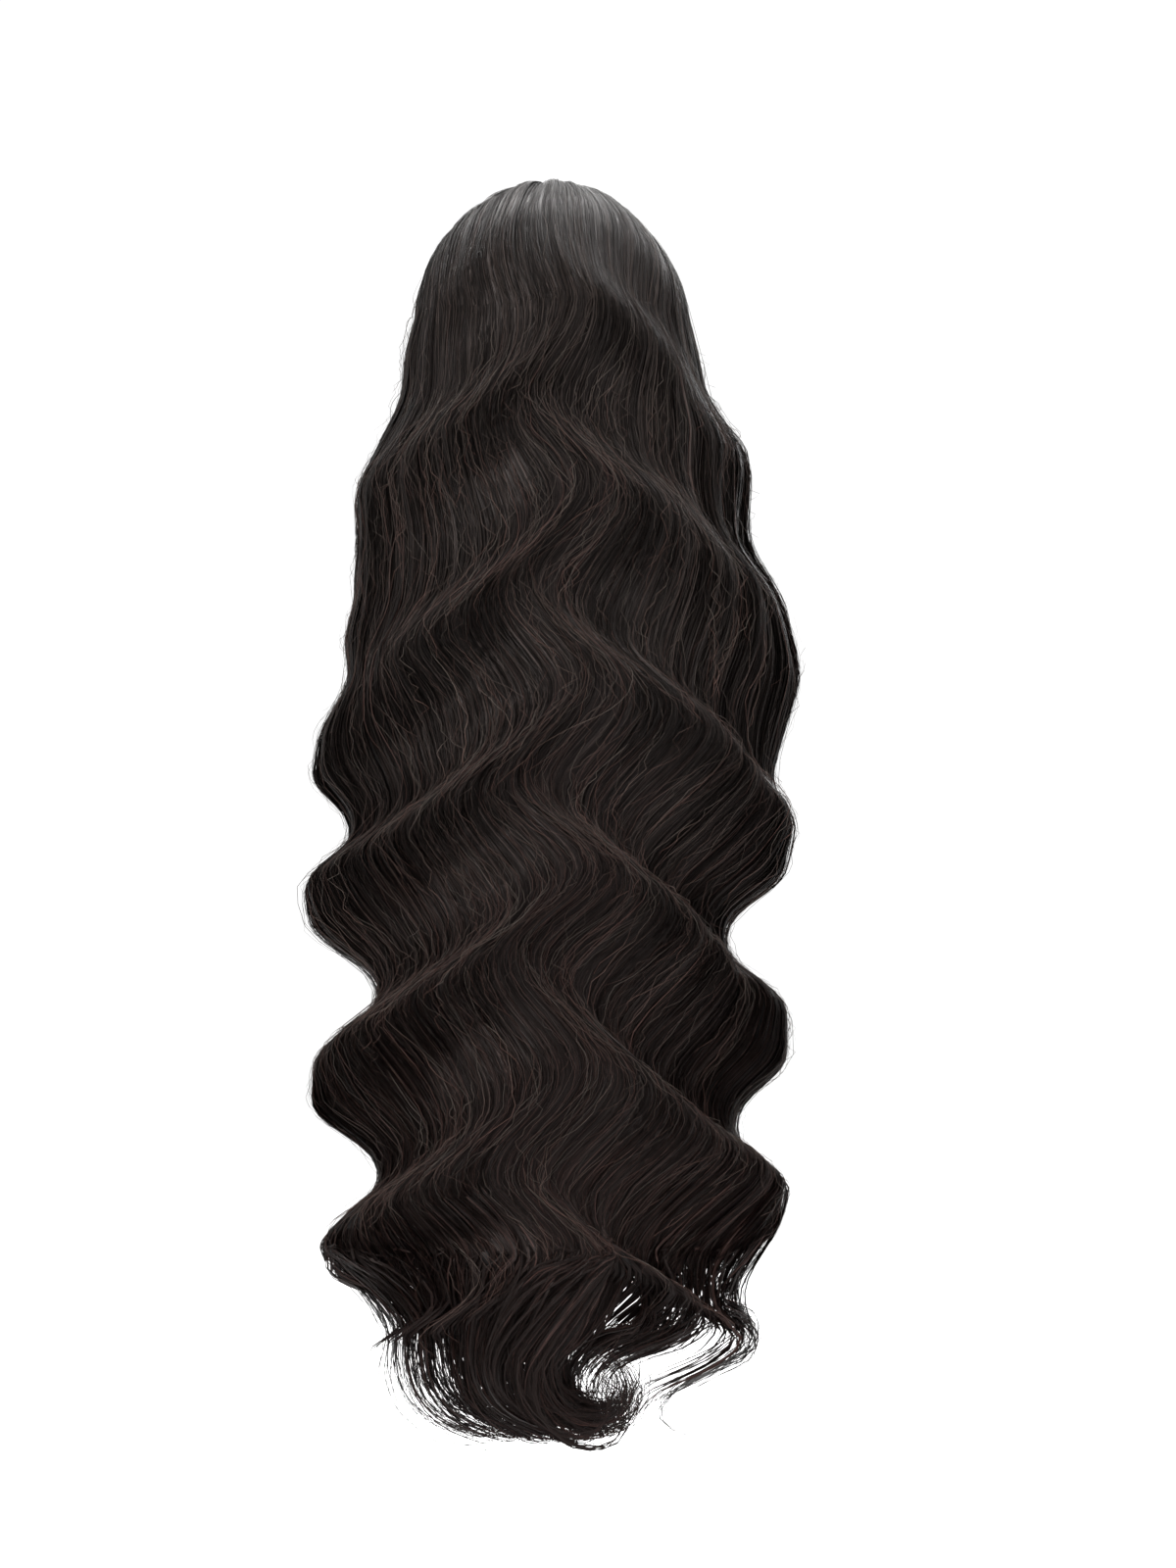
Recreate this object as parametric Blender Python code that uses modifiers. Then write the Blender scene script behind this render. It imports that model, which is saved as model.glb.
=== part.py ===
"""Lace front wig with very long body-wave hair, held as a head holds it.

+Z is up and the wearer faces -Y. The origin is the inside of the cap at the crown, where the
wig sits on the head. Sizes in the tables are millimetres; "left" and "right" there are as seen
from behind, so left is the wearer's left, which is +X.
"""

import math

import bmesh
import bpy
import numpy as np

MM = 0.001

# The head that the cap fits: half breadth, half length, and rise from its widest level
CAP_HALF_WIDTH = 77 * MM
CAP_HALF_LENGTH = 96 * MM
CAP_RISE = 95 * MM
NAPE_TAPER = 0.10
NAPE_DROP = 60 * MM
NAPE_TAPER_END = 1.5
CAP_WALL = 1.5 * MM
LACE_WALL = 1.0 * MM
LACE_BACK_Y = -12 * MM
SEAM_GAP = 0.3 * MM
CAP_RINGS = 10
CAP_SPOKES = 40

# Lower edge of the cap and lace: angle from the middle of the back, height
CAP_EDGE = {
    "angle_deg": (0, 35, 65, 92, 114, 140, 160, 180),
    "height": (-155, -150, -125, -104, -122, -92, -66, -58),
}

# Elastic band inside the nape of the cap
BAND_HALF_ANGLE_DEG = 52
BAND_HEIGHT = 18 * MM
BAND_WALL = 1.2 * MM
BAND_GAP = 1.1 * MM
BAND_ABOVE_EDGE = 6 * MM
BAND_COLUMNS = 17

# Outer surface of the hair below the crown, a row for each section. "back" and "side" are the
# places on Y of the middle of the back and of the widest point, "front" is how deep the front
# quarter is, and the two angles end the back hair and the side hair.
SECTIONS = {
    "height": (-70, -94, -126, -159, -185, -224, -256, -289, -321, -360,
               -394, -445, -494, -555, -620, -676, -724, -763, -830),
    "left": (100, 106, 110, 127, 136, 136, 142, 152, 143, 150,
             153, 155, 149, 147, 148, 141, 138, 114, 104),
    "right": (89, 96, 104, 124, 130, 132, 143, 151, 155, 157,
              150, 134, 130, 130, 141, 126, 120, 110, 98),
    "back": (116, 120, 121, 118, 115, 112, 111, 111, 112, 112,
             111, 110, 109, 108, 107, 106, 105, 104, 102),
    "side": (2, 3, 5, 8, 10, 14, 22, 34, 44, 52,
             58, 62, 64, 66, 68, 70, 72, 74, 76),
    "front": (100, 100, 92, 80, 70, 60, 48, 36, 28, 22,
              20, 20, 20, 20, 20, 20, 20, 20, 20),
    "back_deg": (93, 93, 93, 93, 93, 93, 93, 92, 91, 90,
                 88, 88, 88, 88, 88, 88, 88, 88, 88),
    "front_deg": (152, 143, 132, 125, 121, 117, 113, 109, 106, 104,
                  100, 100, 100, 100, 100, 100, 100, 100, 100),
    "thick": (18, 20, 23, 26, 27, 27, 27, 27, 27, 27,
              27, 27, 26, 25, 23, 20, 16, 12, 8),
}

# Body wave: the heights where the strands are furthest to the left, at the middle of the back
# and at its two edges, then how far they sway sideways and swell, by height
CRESTS = {
    "middle": (60, 0, -128, -245, -382, -500, -642, -745, -850),
    "left": (-20, -107, -204, -367, -466, -589, -706, -776, -870),
    "right": (-20, -100, -202, -374, -486, -609, -721, -790, -870),
}
WAVES = {
    "height": (50, -40, -131, -267, -391, -505, -640, -737, -830),
    "edge_height": (-20, -107, -204, -367, -464, -588, -705, -776, -860),
    "sway_middle": (2, 6, 15, 17, 16, 15, 14, 13, 12),
    "sway_edge": (0, 0, 3, 10, 19, 21, 24, 18, 12),
    "swell": (0, 2, 5, 8, 9, 9, 9, 7, 4),
}
ARCH = 1.2
EDGE_ROUNDING = 0.3
LOBE_WIDENING = 0.25

# Crown: without its roots the hair would rise to CROWN_TOP above the seat, and it falls from a
# parting on the middle line
RIM = -70 * MM
CROWN_TOP = 24 * MM
PARTING_BACK = 12 * MM
PARTING_FRONT = -93 * MM
PARTING_HALF_WIDTH = 2 * MM
PARTING_STARTS = 0.12
SWEEP = 1.7
SWEEP_LESS = 0.86
SWEEP_REACH = 0.8
FRONT_REACH = 0.96
DOME_POWER = 0.6
APEX_LEAN = 4 * MM
ROOT_SHARE = 0.55
ROOT_RISE = 0.14
CROWN_GAP = 0.9 * MM
CROWN_END = -90 * MM
FREE_FROM = -115 * MM
FREE_TO = -165 * MM

# Locks, from the left edge of the picture to the right edge: limits across the hair from -1 to
# 1, the height of the tip, and how far the tip is carried to the right
LOCK_LIMITS = (-1, -0.62, -0.44, -0.27, -0.09, 0.09, 0.27, 0.44, 0.62, 1)
LOCKS = {
    "name": ("side_lock_left", "back_lock_1", "back_lock_2", "back_lock_3", "back_lock_4",
             "back_lock_5", "back_lock_6", "back_lock_7", "side_lock_right"),
    "tip": (-318, -826, -818, -814, -812, -808, -796, -830, -372),
    "curl": (0, 46, 42, 34, 20, 0, -20, -52, 0),
}
BACK_LIMIT = 0.62
GROOVE = 0.2
FRONT_EDGE_SHARE = 0.3
FRONT_EDGE_REACH = 0.25
TIP_LENGTH = 90 * MM
TIP_WIDTH_SHARE = 0.3
NARROWING_POWER = 1.6
CURL_POWER = 2.6
TIP_THICK_SHARE = 0.35
LEAST_DEPTH_SHARE = 0.35
LOCK_GAP = 0.5 * MM
ROW_STEP = 16 * MM
BACK_COLUMNS = 5
SIDE_COLUMNS = 7
DOME_ROWS = 10
SEAM_STEP = 1e-3
FIRST_STRAND = 1e-4
INNER_SWELL_SHARE = 0.5
SHARP_DEG = 50

HAIR_BROWN = (0.022, 0.017, 0.015)
CAP_BROWN = (0.035, 0.024, 0.019)
LACE_BROWN = (0.30, 0.19, 0.12)


def smoothstep(value):
    value = np.clip(value, 0, 1)
    return value * value * (3 - 2 * value)


def smooth_curve(x, xs, ys):
    """A curve through the points of two table columns, with xs rising."""
    slopes = np.gradient(ys, xs)
    i = np.clip(np.searchsorted(xs, x) - 1, 0, len(xs) - 2)
    width = xs[i + 1] - xs[i]
    t = np.clip((x - xs[i]) / width, 0, 1)
    return (
        ys[i] * (1 + 2 * t) * (1 - t) ** 2
        + ys[i + 1] * t * t * (3 - 2 * t)
        + slopes[i] * width * t * (1 - t) ** 2
        - slopes[i + 1] * width * t * t * (1 - t)
    )


def section(name, z):
    """A column of SECTIONS at height z: metres, or degrees in the two angle columns."""
    heights = np.array(SECTIONS["height"][::-1]) * MM
    values = np.array(SECTIONS[name][::-1], float)
    if not name.endswith("deg"):
        values = values * MM
    return smooth_curve(np.asarray(z, float), heights, values)


def angle_of(q, z):
    """Angle round the head, from the middle of the back, of strand q at height z."""
    share = np.abs(q)
    back, front = section("back_deg", z), section("front_deg", z)
    along_side = (share - BACK_LIMIT) / (1 - BACK_LIMIT)
    degrees = np.where(
        share < BACK_LIMIT, back * share / BACK_LIMIT, back + (front - back) * along_side
    )
    return np.radians(degrees) * np.sign(q)


def half_sizes(angle, z):
    """Half width, and depth of the quarter that the angle lies in."""
    width = np.where(angle < 0, section("left", z), section("right", z))
    back = section("back", z) - section("side", z)
    depth = np.where(np.cos(angle) > 0, back, section("front", z))
    return width, depth


def on_section(q, z, more=0.0):
    """Plan position of strand q at height z, more metres outside the smooth outer surface, and
    its angle."""
    angle = angle_of(q, z)
    width, depth = half_sizes(angle, z)
    least = LEAST_DEPTH_SHARE * depth
    width, depth = width + more, np.maximum(depth + more, least)
    return width * np.sin(angle), section("side", z) + depth * np.cos(angle), angle


def wave(angle, z):
    """Sideways sway and outward swell of the body wave at an angle and height."""
    across = np.where(
        np.abs(angle) < math.pi / 2, np.abs(np.sin(angle)), 0.5 + np.abs(angle) / math.pi
    )
    crests = []
    for middle, left, right in zip(CRESTS["middle"], CRESTS["left"], CRESTS["right"]):
        edge = np.where(angle < 0, left, right)
        crests.append((middle + (edge - middle) * across**ARCH) * MM)
    turns = 0.0
    for above, below in zip(crests, crests[1:]):
        turns = turns + np.clip((above - z) / (above - below), 0, 1)
    beat = -np.cos(2 * math.pi * turns)
    fuller = (EDGE_ROUNDING * beat + LOBE_WIDENING * np.sign(angle)) * (1 - beat**2)
    beat = beat + fuller * np.clip(across, 0, 1) ** 2
    table = {name: np.array(column[::-1]) * MM for name, column in WAVES.items()}
    at_middle = np.interp(z, table["height"], table["sway_middle"])
    at_edge = np.interp(z, table["edge_height"], table["sway_edge"])
    swell = np.interp(z, table["height"], table["swell"])
    sway = at_middle + (at_edge - at_middle) * np.clip(across, 0, 1)
    return sway * beat, swell * beat * np.cos(angle) ** 2


def cap_scale(z):
    """How much narrower the cap is below its widest level, towards the nape."""
    below = np.clip((-CAP_RISE - z) / NAPE_DROP, 0, NAPE_TAPER_END)
    return 1 - NAPE_TAPER * below * below


def on_cap(x, y, z, off):
    """The point of the cap's inner form, off metres outside it, on the way to (x, y, z)."""
    a, b, c = CAP_HALF_WIDTH + off, CAP_HALF_LENGTH + off, CAP_RISE + off
    up = np.maximum(z + CAP_RISE, 0)
    reach = 1 / np.sqrt((x / a) ** 2 + (y / b) ** 2 + (up / c) ** 2)
    narrow = np.where(up > 0, 1, cap_scale(z))
    height = np.where(up > 0, up * reach - CAP_RISE, z)
    return x * reach * narrow, y * reach * narrow, height


def lock_relief(q):
    """1 along the middle of a lock, less in the grooves between locks."""
    limits = np.array(LOCK_LIMITS)
    i = np.clip(np.searchsorted(limits, q, side="right") - 1, 0, len(limits) - 2)
    across = 2 * (q - limits[i]) / (limits[i + 1] - limits[i]) - 1
    edge = FRONT_EDGE_SHARE + (1 - FRONT_EDGE_SHARE) * smoothstep(
        (1 - np.abs(q)) / FRONT_EDGE_REACH
    )
    return (1 - GROOVE * across * across) * edge


def dome_point(q, t):
    """Smooth outer surface over the crown: t runs from 0 at the root to 1 at the rim."""
    rim_x, rim_y, angle = on_section(q, RIM)
    share = np.abs(q)
    turn = np.clip(share / PARTING_STARTS, 0, 1) * math.pi / 2 * np.sign(q)
    root_x = PARTING_HALF_WIDTH * np.sin(turn)
    root_y = (
        PARTING_BACK + PARTING_HALF_WIDTH * np.cos(turn)
        + (PARTING_FRONT - PARTING_BACK) * np.clip(share - PARTING_STARTS, 0, 1)
        / (1 - PARTING_STARTS)
    )
    ahead = angle + SWEEP * share * (1 - SWEEP_LESS * share) * np.sign(q)
    reach = SWEEP_REACH + (FRONT_REACH - SWEEP_REACH) * share**4
    width, depth = half_sizes(ahead, RIM)
    bend_x = reach * width * np.sin(ahead)
    bend_y = section("side", RIM) + reach * depth * np.cos(ahead)
    g = np.sin(t * math.pi / 2)
    x = (1 - g) ** 2 * root_x + 2 * g * (1 - g) * bend_x + g * g * rim_x
    y = (1 - g) ** 2 * root_y + 2 * g * (1 - g) * bend_y + g * g * rim_y
    width, depth = half_sizes(np.arctan2(x, y - section("side", RIM)), RIM)
    out = (x / width) ** 2 + ((y - section("side", RIM)) / depth) ** 2
    up = np.clip(1 - out, 0, 1) ** DOME_POWER
    return x - APEX_LEAN * up, y, RIM + (CROWN_TOP - RIM) * up, angle


def hair_surfaces(q, t, z):
    """Outer and inner point of the hair at strand q. Over the crown t is below 1 and z unused;
    from the rim down t is 1 and z is the height. Points are (picture right, back, up)."""
    root = 1
    if t < 1:
        x, y, z, angle = dome_point(q, t)
        sway = t * wave(angle, z)[0]
        root = ROOT_SHARE + (1 - ROOT_SHARE) * smoothstep(t / ROOT_RISE)
        full = (x + sway, y, z)
        inner = on_cap(x, y, z, CAP_WALL + CROWN_GAP)
    else:
        sway, swell = wave(angle_of(q, z), z)
        x, y, angle = on_section(q, z, swell)
        full = (x + sway, y, z)
        capped = on_cap(*on_section(q, z)[:2], z, CAP_WALL + CROWN_GAP)
        loose = on_section(q, z, swell * INNER_SWELL_SHARE - section("thick", z))
        free = smoothstep((FREE_FROM - z) / (FREE_FROM - FREE_TO))
        inner = [
            capped[0] + (loose[0] + sway - capped[0]) * free,
            capped[1] + (loose[1] - capped[1]) * free,
            z,
        ]
    relief = lock_relief(q) * root
    outer = [i + (f - i) * relief for i, f in zip(inner, full)]
    return np.array(outer), np.array(inner)


def seam_shift(q, side, t, z):
    """Moves for the outer and inner point at a lock's edge, half a gap back from the seam."""
    here = hair_surfaces(q, t, z)
    inwards = hair_surfaces(q - side * SEAM_STEP, t, z)
    shifts = []
    for a, b in zip(here, inwards):
        way = b - a
        if t == 1:
            way[2] = 0
        shifts.append(way / np.linalg.norm(way) * LOCK_GAP / 2)
    return shifts


def hair_row(qs, t, z):
    """A row of outer points and one of inner points, drawn back from the seams at both ends."""
    points = [hair_surfaces(q, t, z) for q in qs]
    for end, side in ((0, -1), (-1, 1)):
        if abs(qs[end]) < 1:
            shift = seam_shift(qs[end], side, t, z)
            points[end] = (points[end][0] + shift[0], points[end][1] + shift[1])
    return np.array([p[0] for p in points]), np.array([p[1] for p in points])


def taper_row(outer, inner, tip, curl, z):
    """Draws a row near a lock's tip in to its middle line, and carries it sideways."""
    along = np.clip((tip * MM + TIP_LENGTH - z) / TIP_LENGTH, 0, 1)
    if along == 0:
        return outer, inner
    width = 1 - (1 - TIP_WIDTH_SHARE) * along**NARROWING_POWER
    thick = 1 - (1 - TIP_THICK_SHARE) * along
    heart = (outer[len(outer) // 2] + inner[len(inner) // 2]) / 2
    carried = np.array([curl * MM * along**CURL_POWER, 0, 0])
    across = np.append((outer[-1] - outer[0])[:2], 0)
    across = across / np.linalg.norm(across)
    rows = []
    for row in (outer, inner):
        off = row - heart
        sideways = np.outer(off @ across, across)
        rows.append(heart + sideways * width + (off - sideways) * thick + carried)
    return rows


def in_frame(points):
    """Picture right, back and up, as X, Y and Z."""
    return points * np.array([-1, 1, 1])


def shell(name, outer, inner, material, home):
    """A closed solid between two grids of points with the same rows and columns. Every quad of
    a side wall is cut from outer to inner going down, so that facing walls stay parallel."""
    rows, columns = outer.shape[:2]
    mesh = bmesh.new()
    sheets = [
        [[mesh.verts.new(in_frame(grid[r][c])) for c in range(columns)] for r in range(rows)]
        for grid in (outer, inner)
    ]

    def quad(a, b, c, d):
        mesh.faces.new((a, b, c))
        mesh.faces.new((a, c, d))

    for number, sheet in enumerate(sheets):
        for r in range(rows - 1):
            for c in range(columns - 1):
                corners = [sheet[r][c], sheet[r + 1][c], sheet[r + 1][c + 1], sheet[r][c + 1]]
                quad(*(corners if number == 0 else corners[::-1]))
    out, ins = sheets
    for r in range(rows - 1):
        quad(out[r][0], ins[r][0], ins[r + 1][0], out[r + 1][0])
        quad(out[r][-1], out[r + 1][-1], ins[r + 1][-1], ins[r][-1])
    for c in range(columns - 1):
        quad(out[0][c], out[0][c + 1], ins[0][c + 1], ins[0][c])
        quad(out[-1][c], ins[-1][c], ins[-1][c + 1], out[-1][c + 1])
    return add_object(name, mesh, material, home)


def add_object(name, mesh, material, home):
    data = bpy.data.meshes.new(name)
    mesh.to_mesh(data)
    mesh.free()
    data.shade_smooth()
    data.set_sharp_from_angle(angle=math.radians(SHARP_DEG))
    data.materials.append(material)
    piece = bpy.data.objects.new(name, data)
    home.objects.link(piece)
    return piece


def lock_columns(low, high):
    count = SIDE_COLUMNS if max(abs(low), abs(high)) == 1 else BACK_COLUMNS
    return np.linspace(low, high, count)


def crown(name, side, material, home):
    """The hair over the cap on one side of the parting, side -1 on the picture's left."""
    limits = [limit for limit in LOCK_LIMITS if limit > 0]
    qs = list(np.linspace(0, limits[0], BACK_COLUMNS // 2 + 1))
    for low, high in zip(limits, limits[1:]):
        qs += list(lock_columns(low, high)[1:])
    qs[0] = FIRST_STRAND
    stations = [(t, None) for t in np.linspace(0, 1, DOME_ROWS, endpoint=False)]
    stations += [(1, RIM), (1, CROWN_END + SEAM_GAP / 2)]
    order = slice(None, None, side)
    rows = [hair_row(side * np.array(qs)[order], t, z) for t, z in stations]
    return shell(name, np.array([r[0] for r in rows]), np.array([r[1] for r in rows]),
                 material, home)


def lock(i, material, home):
    """One lock, from the end of the crown hair to its tip."""
    qs = lock_columns(LOCK_LIMITS[i], LOCK_LIMITS[i + 1])
    tip, curl = LOCKS["tip"][i], LOCKS["curl"][i]
    top = CROWN_END - SEAM_GAP / 2
    tip_rows = round((top - tip * MM) / ROW_STEP)
    heights = [top - ROW_STEP * row for row in range(tip_rows)] + [tip * MM]
    rows = []
    for z in heights:
        outer, inner = hair_row(qs, 1, z)
        rows.append(taper_row(outer, inner, tip, curl, z))
    return shell(LOCKS["name"][i], np.array([r[0] for r in rows]),
                 np.array([r[1] for r in rows]), material, home)


def cap_edge_height(angle):
    degrees = np.degrees(np.abs(angle))
    heights = np.array(CAP_EDGE["height"], float) * MM
    return smooth_curve(degrees, np.array(CAP_EDGE["angle_deg"], float), heights)


def cap_meridian(angle, height):
    """The point of the cap's inner form at an angle round the head and a height."""
    up = max(height + CAP_RISE, 0)
    flat = math.sqrt(max(1 - (up / CAP_RISE) ** 2, 0)) * float(cap_scale(height))
    x = CAP_HALF_WIDTH * flat * math.sin(angle)
    return x, CAP_HALF_LENGTH * flat * math.cos(angle), height


def cap_surface(rings=CAP_RINGS, spokes=CAP_SPOKES):
    """The cap's inner form as an open surface, from the crown to the lower edge."""
    mesh = bmesh.new()
    top = mesh.verts.new((0, 0, 0))
    circle = [2 * math.pi * s / spokes for s in range(spokes)]
    signed = [math.remainder(a, 2 * math.pi) for a in circle]
    last = [top] * spokes
    for ring in range(1, rings + 1):
        row = []
        for angle in signed:
            edge = float(cap_edge_height(angle))
            share = ring / rings
            over_top = math.acos(max(1 + edge / CAP_RISE, 0))
            below = min(edge + CAP_RISE, 0)
            height = -CAP_RISE * (1 - math.cos(share * over_top)) + below * share**3
            row.append(mesh.verts.new(cap_meridian(angle, height)))
        for s in range(spokes):
            n = (s + 1) % spokes
            if ring == 1:
                mesh.faces.new((top, row[s], row[n]))
            else:
                mesh.faces.new((last[s], row[s], row[n], last[n]))
        last = row
    return mesh


def cut_half(mesh, y, keep_back):
    """Cuts the open surface at a plane across Y and keeps one half."""
    geometry = mesh.verts[:] + mesh.edges[:] + mesh.faces[:]
    bmesh.ops.bisect_plane(
        mesh, geom=geometry, dist=1e-6, plane_co=(0, y, 0), plane_no=(0, 1, 0),
        clear_inner=keep_back, clear_outer=not keep_back,
    )


def cloth_shell(name, mesh, wall, material, home):
    """An open surface made a wall that lies outside it."""
    bmesh.ops.recalc_face_normals(mesh, faces=mesh.faces)
    crown_face = max(mesh.faces, key=lambda face: face.calc_center_median().z)
    if crown_face.normal.z < 0:
        bmesh.ops.reverse_faces(mesh, faces=mesh.faces)
    piece = add_object(name, mesh, material, home)
    solid = piece.modifiers.new("wall", "SOLIDIFY")
    solid.thickness = wall
    solid.offset = 1
    solid.use_even_offset = True
    return piece


def cap(material, home):
    mesh = cap_surface()
    cut_half(mesh, LACE_BACK_Y + SEAM_GAP / 2, keep_back=True)
    return cloth_shell("wig_cap", mesh, CAP_WALL, material, home)


def lace_front(material, home):
    mesh = cap_surface()
    cut_half(mesh, LACE_BACK_Y - SEAM_GAP / 2, keep_back=False)
    return cloth_shell("lace_front", mesh, LACE_WALL, material, home)


def nape_band(material, home):
    """Elastic band along the inside of the nape, which draws the cap close to the head."""
    mesh = bmesh.new()
    rows = []
    share = 1 - (BAND_WALL + BAND_GAP) / CAP_HALF_WIDTH
    for up in (0, BAND_HEIGHT / 2, BAND_HEIGHT):
        row = []
        for degrees in np.linspace(-BAND_HALF_ANGLE_DEG, BAND_HALF_ANGLE_DEG, BAND_COLUMNS):
            angle = math.radians(degrees)
            height = float(cap_edge_height(angle)) + BAND_ABOVE_EDGE + up
            x, y, z = cap_meridian(angle, height)
            row.append(mesh.verts.new((x * share, y * share, z)))
        rows.append(row)
    for low, high in zip(rows, rows[1:]):
        for c in range(len(low) - 1):
            mesh.faces.new((low[c], low[c + 1], high[c + 1], high[c]))
    bmesh.ops.recalc_face_normals(mesh, faces=mesh.faces)
    if mesh.faces[:][0].normal.y < 0:
        bmesh.ops.reverse_faces(mesh, faces=mesh.faces)
    piece = add_object("nape_band", mesh, material, home)
    solid = piece.modifiers.new("wall", "SOLIDIFY")
    solid.thickness = BAND_WALL
    solid.offset = 1
    return piece


def principled(name, colour, roughness):
    material = bpy.data.materials.new(name)
    material.use_nodes = True
    shader = material.node_tree.nodes["Principled BSDF"]
    shader.inputs["Base Color"].default_value = (*colour, 1)
    shader.inputs["Roughness"].default_value = roughness
    shader.inputs["Metallic"].default_value = 0
    return material


def build():
    for old in list(bpy.data.objects):
        bpy.data.objects.remove(old)
    home = bpy.data.collections.new("lace_front_wig")
    bpy.context.scene.collection.children.link(home)
    cap(principled("cap_mesh", CAP_BROWN, 0.8), home)
    lace_front(principled("lace", LACE_BROWN, 0.7), home)
    nape_band(principled("elastic", CAP_BROWN, 0.7), home)
    hair = principled("hair", HAIR_BROWN, 0.4)
    crown("crown_hair_left", -1, hair, home)
    crown("crown_hair_right", 1, hair, home)
    for i in range(len(LOCKS["name"])):
        lock(i, hair, home)


build()
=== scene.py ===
"""Looks of the lace front wig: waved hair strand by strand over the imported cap.

Lengths are metres in the CAD's frame: +Z up, the wearer faces -Y, and the photograph is taken
from +Y. The hair's form is worked out in picture coordinates, (picture right, back, up), where
picture right is -X, and sizes in the tables are millimetres.
"""

import math

import bpy
import numpy as np
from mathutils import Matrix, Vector


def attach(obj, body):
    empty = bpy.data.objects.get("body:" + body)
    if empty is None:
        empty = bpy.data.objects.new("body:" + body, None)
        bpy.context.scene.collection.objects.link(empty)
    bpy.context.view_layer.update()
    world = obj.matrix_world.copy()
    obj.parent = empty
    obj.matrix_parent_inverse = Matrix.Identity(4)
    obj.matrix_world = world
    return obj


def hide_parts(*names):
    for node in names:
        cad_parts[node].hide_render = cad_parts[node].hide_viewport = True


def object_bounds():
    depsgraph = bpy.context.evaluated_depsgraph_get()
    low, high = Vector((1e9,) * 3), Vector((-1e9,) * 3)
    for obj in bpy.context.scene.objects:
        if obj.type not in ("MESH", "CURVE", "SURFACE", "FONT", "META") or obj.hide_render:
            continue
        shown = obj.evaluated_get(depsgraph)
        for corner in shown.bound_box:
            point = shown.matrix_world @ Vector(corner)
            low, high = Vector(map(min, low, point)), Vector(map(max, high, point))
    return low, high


MM = 0.001
SEED = 20

# The photograph: what one pixel covers, and the pixel of the seat's place
PIXEL = 0.65 * MM
PHOTO_WIDTH, PHOTO_HEIGHT = 1200, 1600
SEAT_PIXEL = (570, 206)
CAMERA_DISTANCE = 2.4
HAIR_MIDDLE_Y = 0.06
SENSOR = 36.0
FLOOR_DROP = 0.25

# The cap's inner form, as in the CAD
CAP_HALF_WIDTH = 77 * MM
CAP_HALF_LENGTH = 96 * MM
CAP_RISE = 95 * MM
NAPE_TAPER = 0.10
NAPE_DROP = 60 * MM
NAPE_REACH = 1.5
CAP_CLEAR = 2.4 * MM

# Outer surface of the hair below the crown, as in the CAD
SECTIONS = {
    "height": (-70, -94, -126, -159, -185, -224, -256, -289, -321, -360,
               -394, -445, -494, -555, -620, -676, -724, -763, -830),
    "left": (100, 106, 110, 127, 136, 136, 142, 152, 143, 150,
             153, 155, 149, 147, 148, 141, 138, 114, 104),
    "right": (89, 96, 104, 124, 130, 132, 143, 151, 155, 157,
              150, 134, 130, 130, 141, 126, 120, 110, 98),
    "back": (116, 120, 121, 118, 115, 112, 111, 111, 112, 112,
             111, 110, 109, 108, 107, 106, 105, 104, 102),
    "side": (2, 3, 5, 8, 10, 14, 22, 34, 44, 52,
             58, 62, 64, 66, 68, 70, 72, 74, 76),
    "front": (100, 100, 92, 80, 70, 60, 48, 36, 28, 22,
              20, 20, 20, 20, 20, 20, 20, 20, 20),
    "back_deg": (93, 93, 93, 93, 93, 93, 93, 92, 91, 90,
                 88, 88, 88, 88, 88, 88, 88, 88, 88),
    "front_deg": (152, 143, 132, 125, 121, 117, 113, 109, 106, 104,
                  100, 100, 100, 100, 100, 100, 100, 100, 100),
    "thick": (18, 20, 23, 26, 27, 27, 27, 27, 27, 27,
              27, 27, 26, 25, 23, 20, 16, 12, 8),
}
# Body wave: the heights where the strands are furthest to the picture's left, at the middle of
# the back and at its two edges, then how far they sway and swell at some heights
CRESTS = {
    "middle": (60, 0, -128, -245, -382, -500, -642, -745, -850),
    "left": (-20, -107, -204, -367, -466, -589, -706, -776, -870),
    "right": (-20, -100, -202, -374, -486, -609, -721, -790, -870),
}
WAVES = {
    "height": (50, -40, -131, -267, -391, -505, -640, -737, -830),
    "edge_height": (-20, -107, -204, -367, -464, -588, -705, -776, -860),
    "sway_middle": (2, 7, 17, 20, 21, 21, 21, 17, 12),
    "sway_edge": (0, 0, 3, 10, 19, 21, 24, 18, 12),
    "swell": (0, 3, 6, 8, 9, 9, 9, 7, 4),
}
ARCH = 1.2
EDGE_ROUNDING = 0.3
LOBE_WIDENING = 0.25

# Where the strands run outwards they lift, and just below that they drop away
LIFT = 12 * MM
DROP = 0.45
LIFT_GROWS_OVER = 0.12
LIFT_FADES_FROM, LIFT_FADES_OVER = 0.3, 0.65
FULL_LIFT_SWAY = 15 * MM

# How unevenly the waves run across the hair
PHASE_DRIFT = 7 * MM

RIM = -70 * MM
CROWN_TOP = 25 * MM
PARTING_BACK = -22 * MM
PARTING_FRONT = -93 * MM
PARTING_HALF_WIDTH = 2 * MM
PARTING_STARTS = 0.12
SWEEP = 1.7
SWEEP_LESS = 0.86
SWEEP_REACH = 0.8
FRONT_REACH = 0.96
DOME_POWER = 0.6
APEX_LEAN = 4 * MM
FREE_FROM = -115 * MM
FREE_TO = -165 * MM
LEAST_DEPTH_SHARE = 0.35
BACK_LIMIT = 0.62
FRONT_EDGE_SHARE = 0.3
FRONT_EDGE_REACH = 0.25

# Relief of locks and wisps over the outer surface: where it starts to grow downwards, over what
# height, how deep it is, and how far it drifts sideways
RELIEF_FROM, RELIEF_OVER = 10 * MM, 250 * MM
LEAST_RELIEF = 0.35
LOCK_RELIEF = 3.0 * MM
FINE_RELIEF = 1.1 * MM
RELIEF_SUNK = 2.0 * MM
DRIFT = 3.2 * MM
FIELD_PEAK = 1.6

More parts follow.
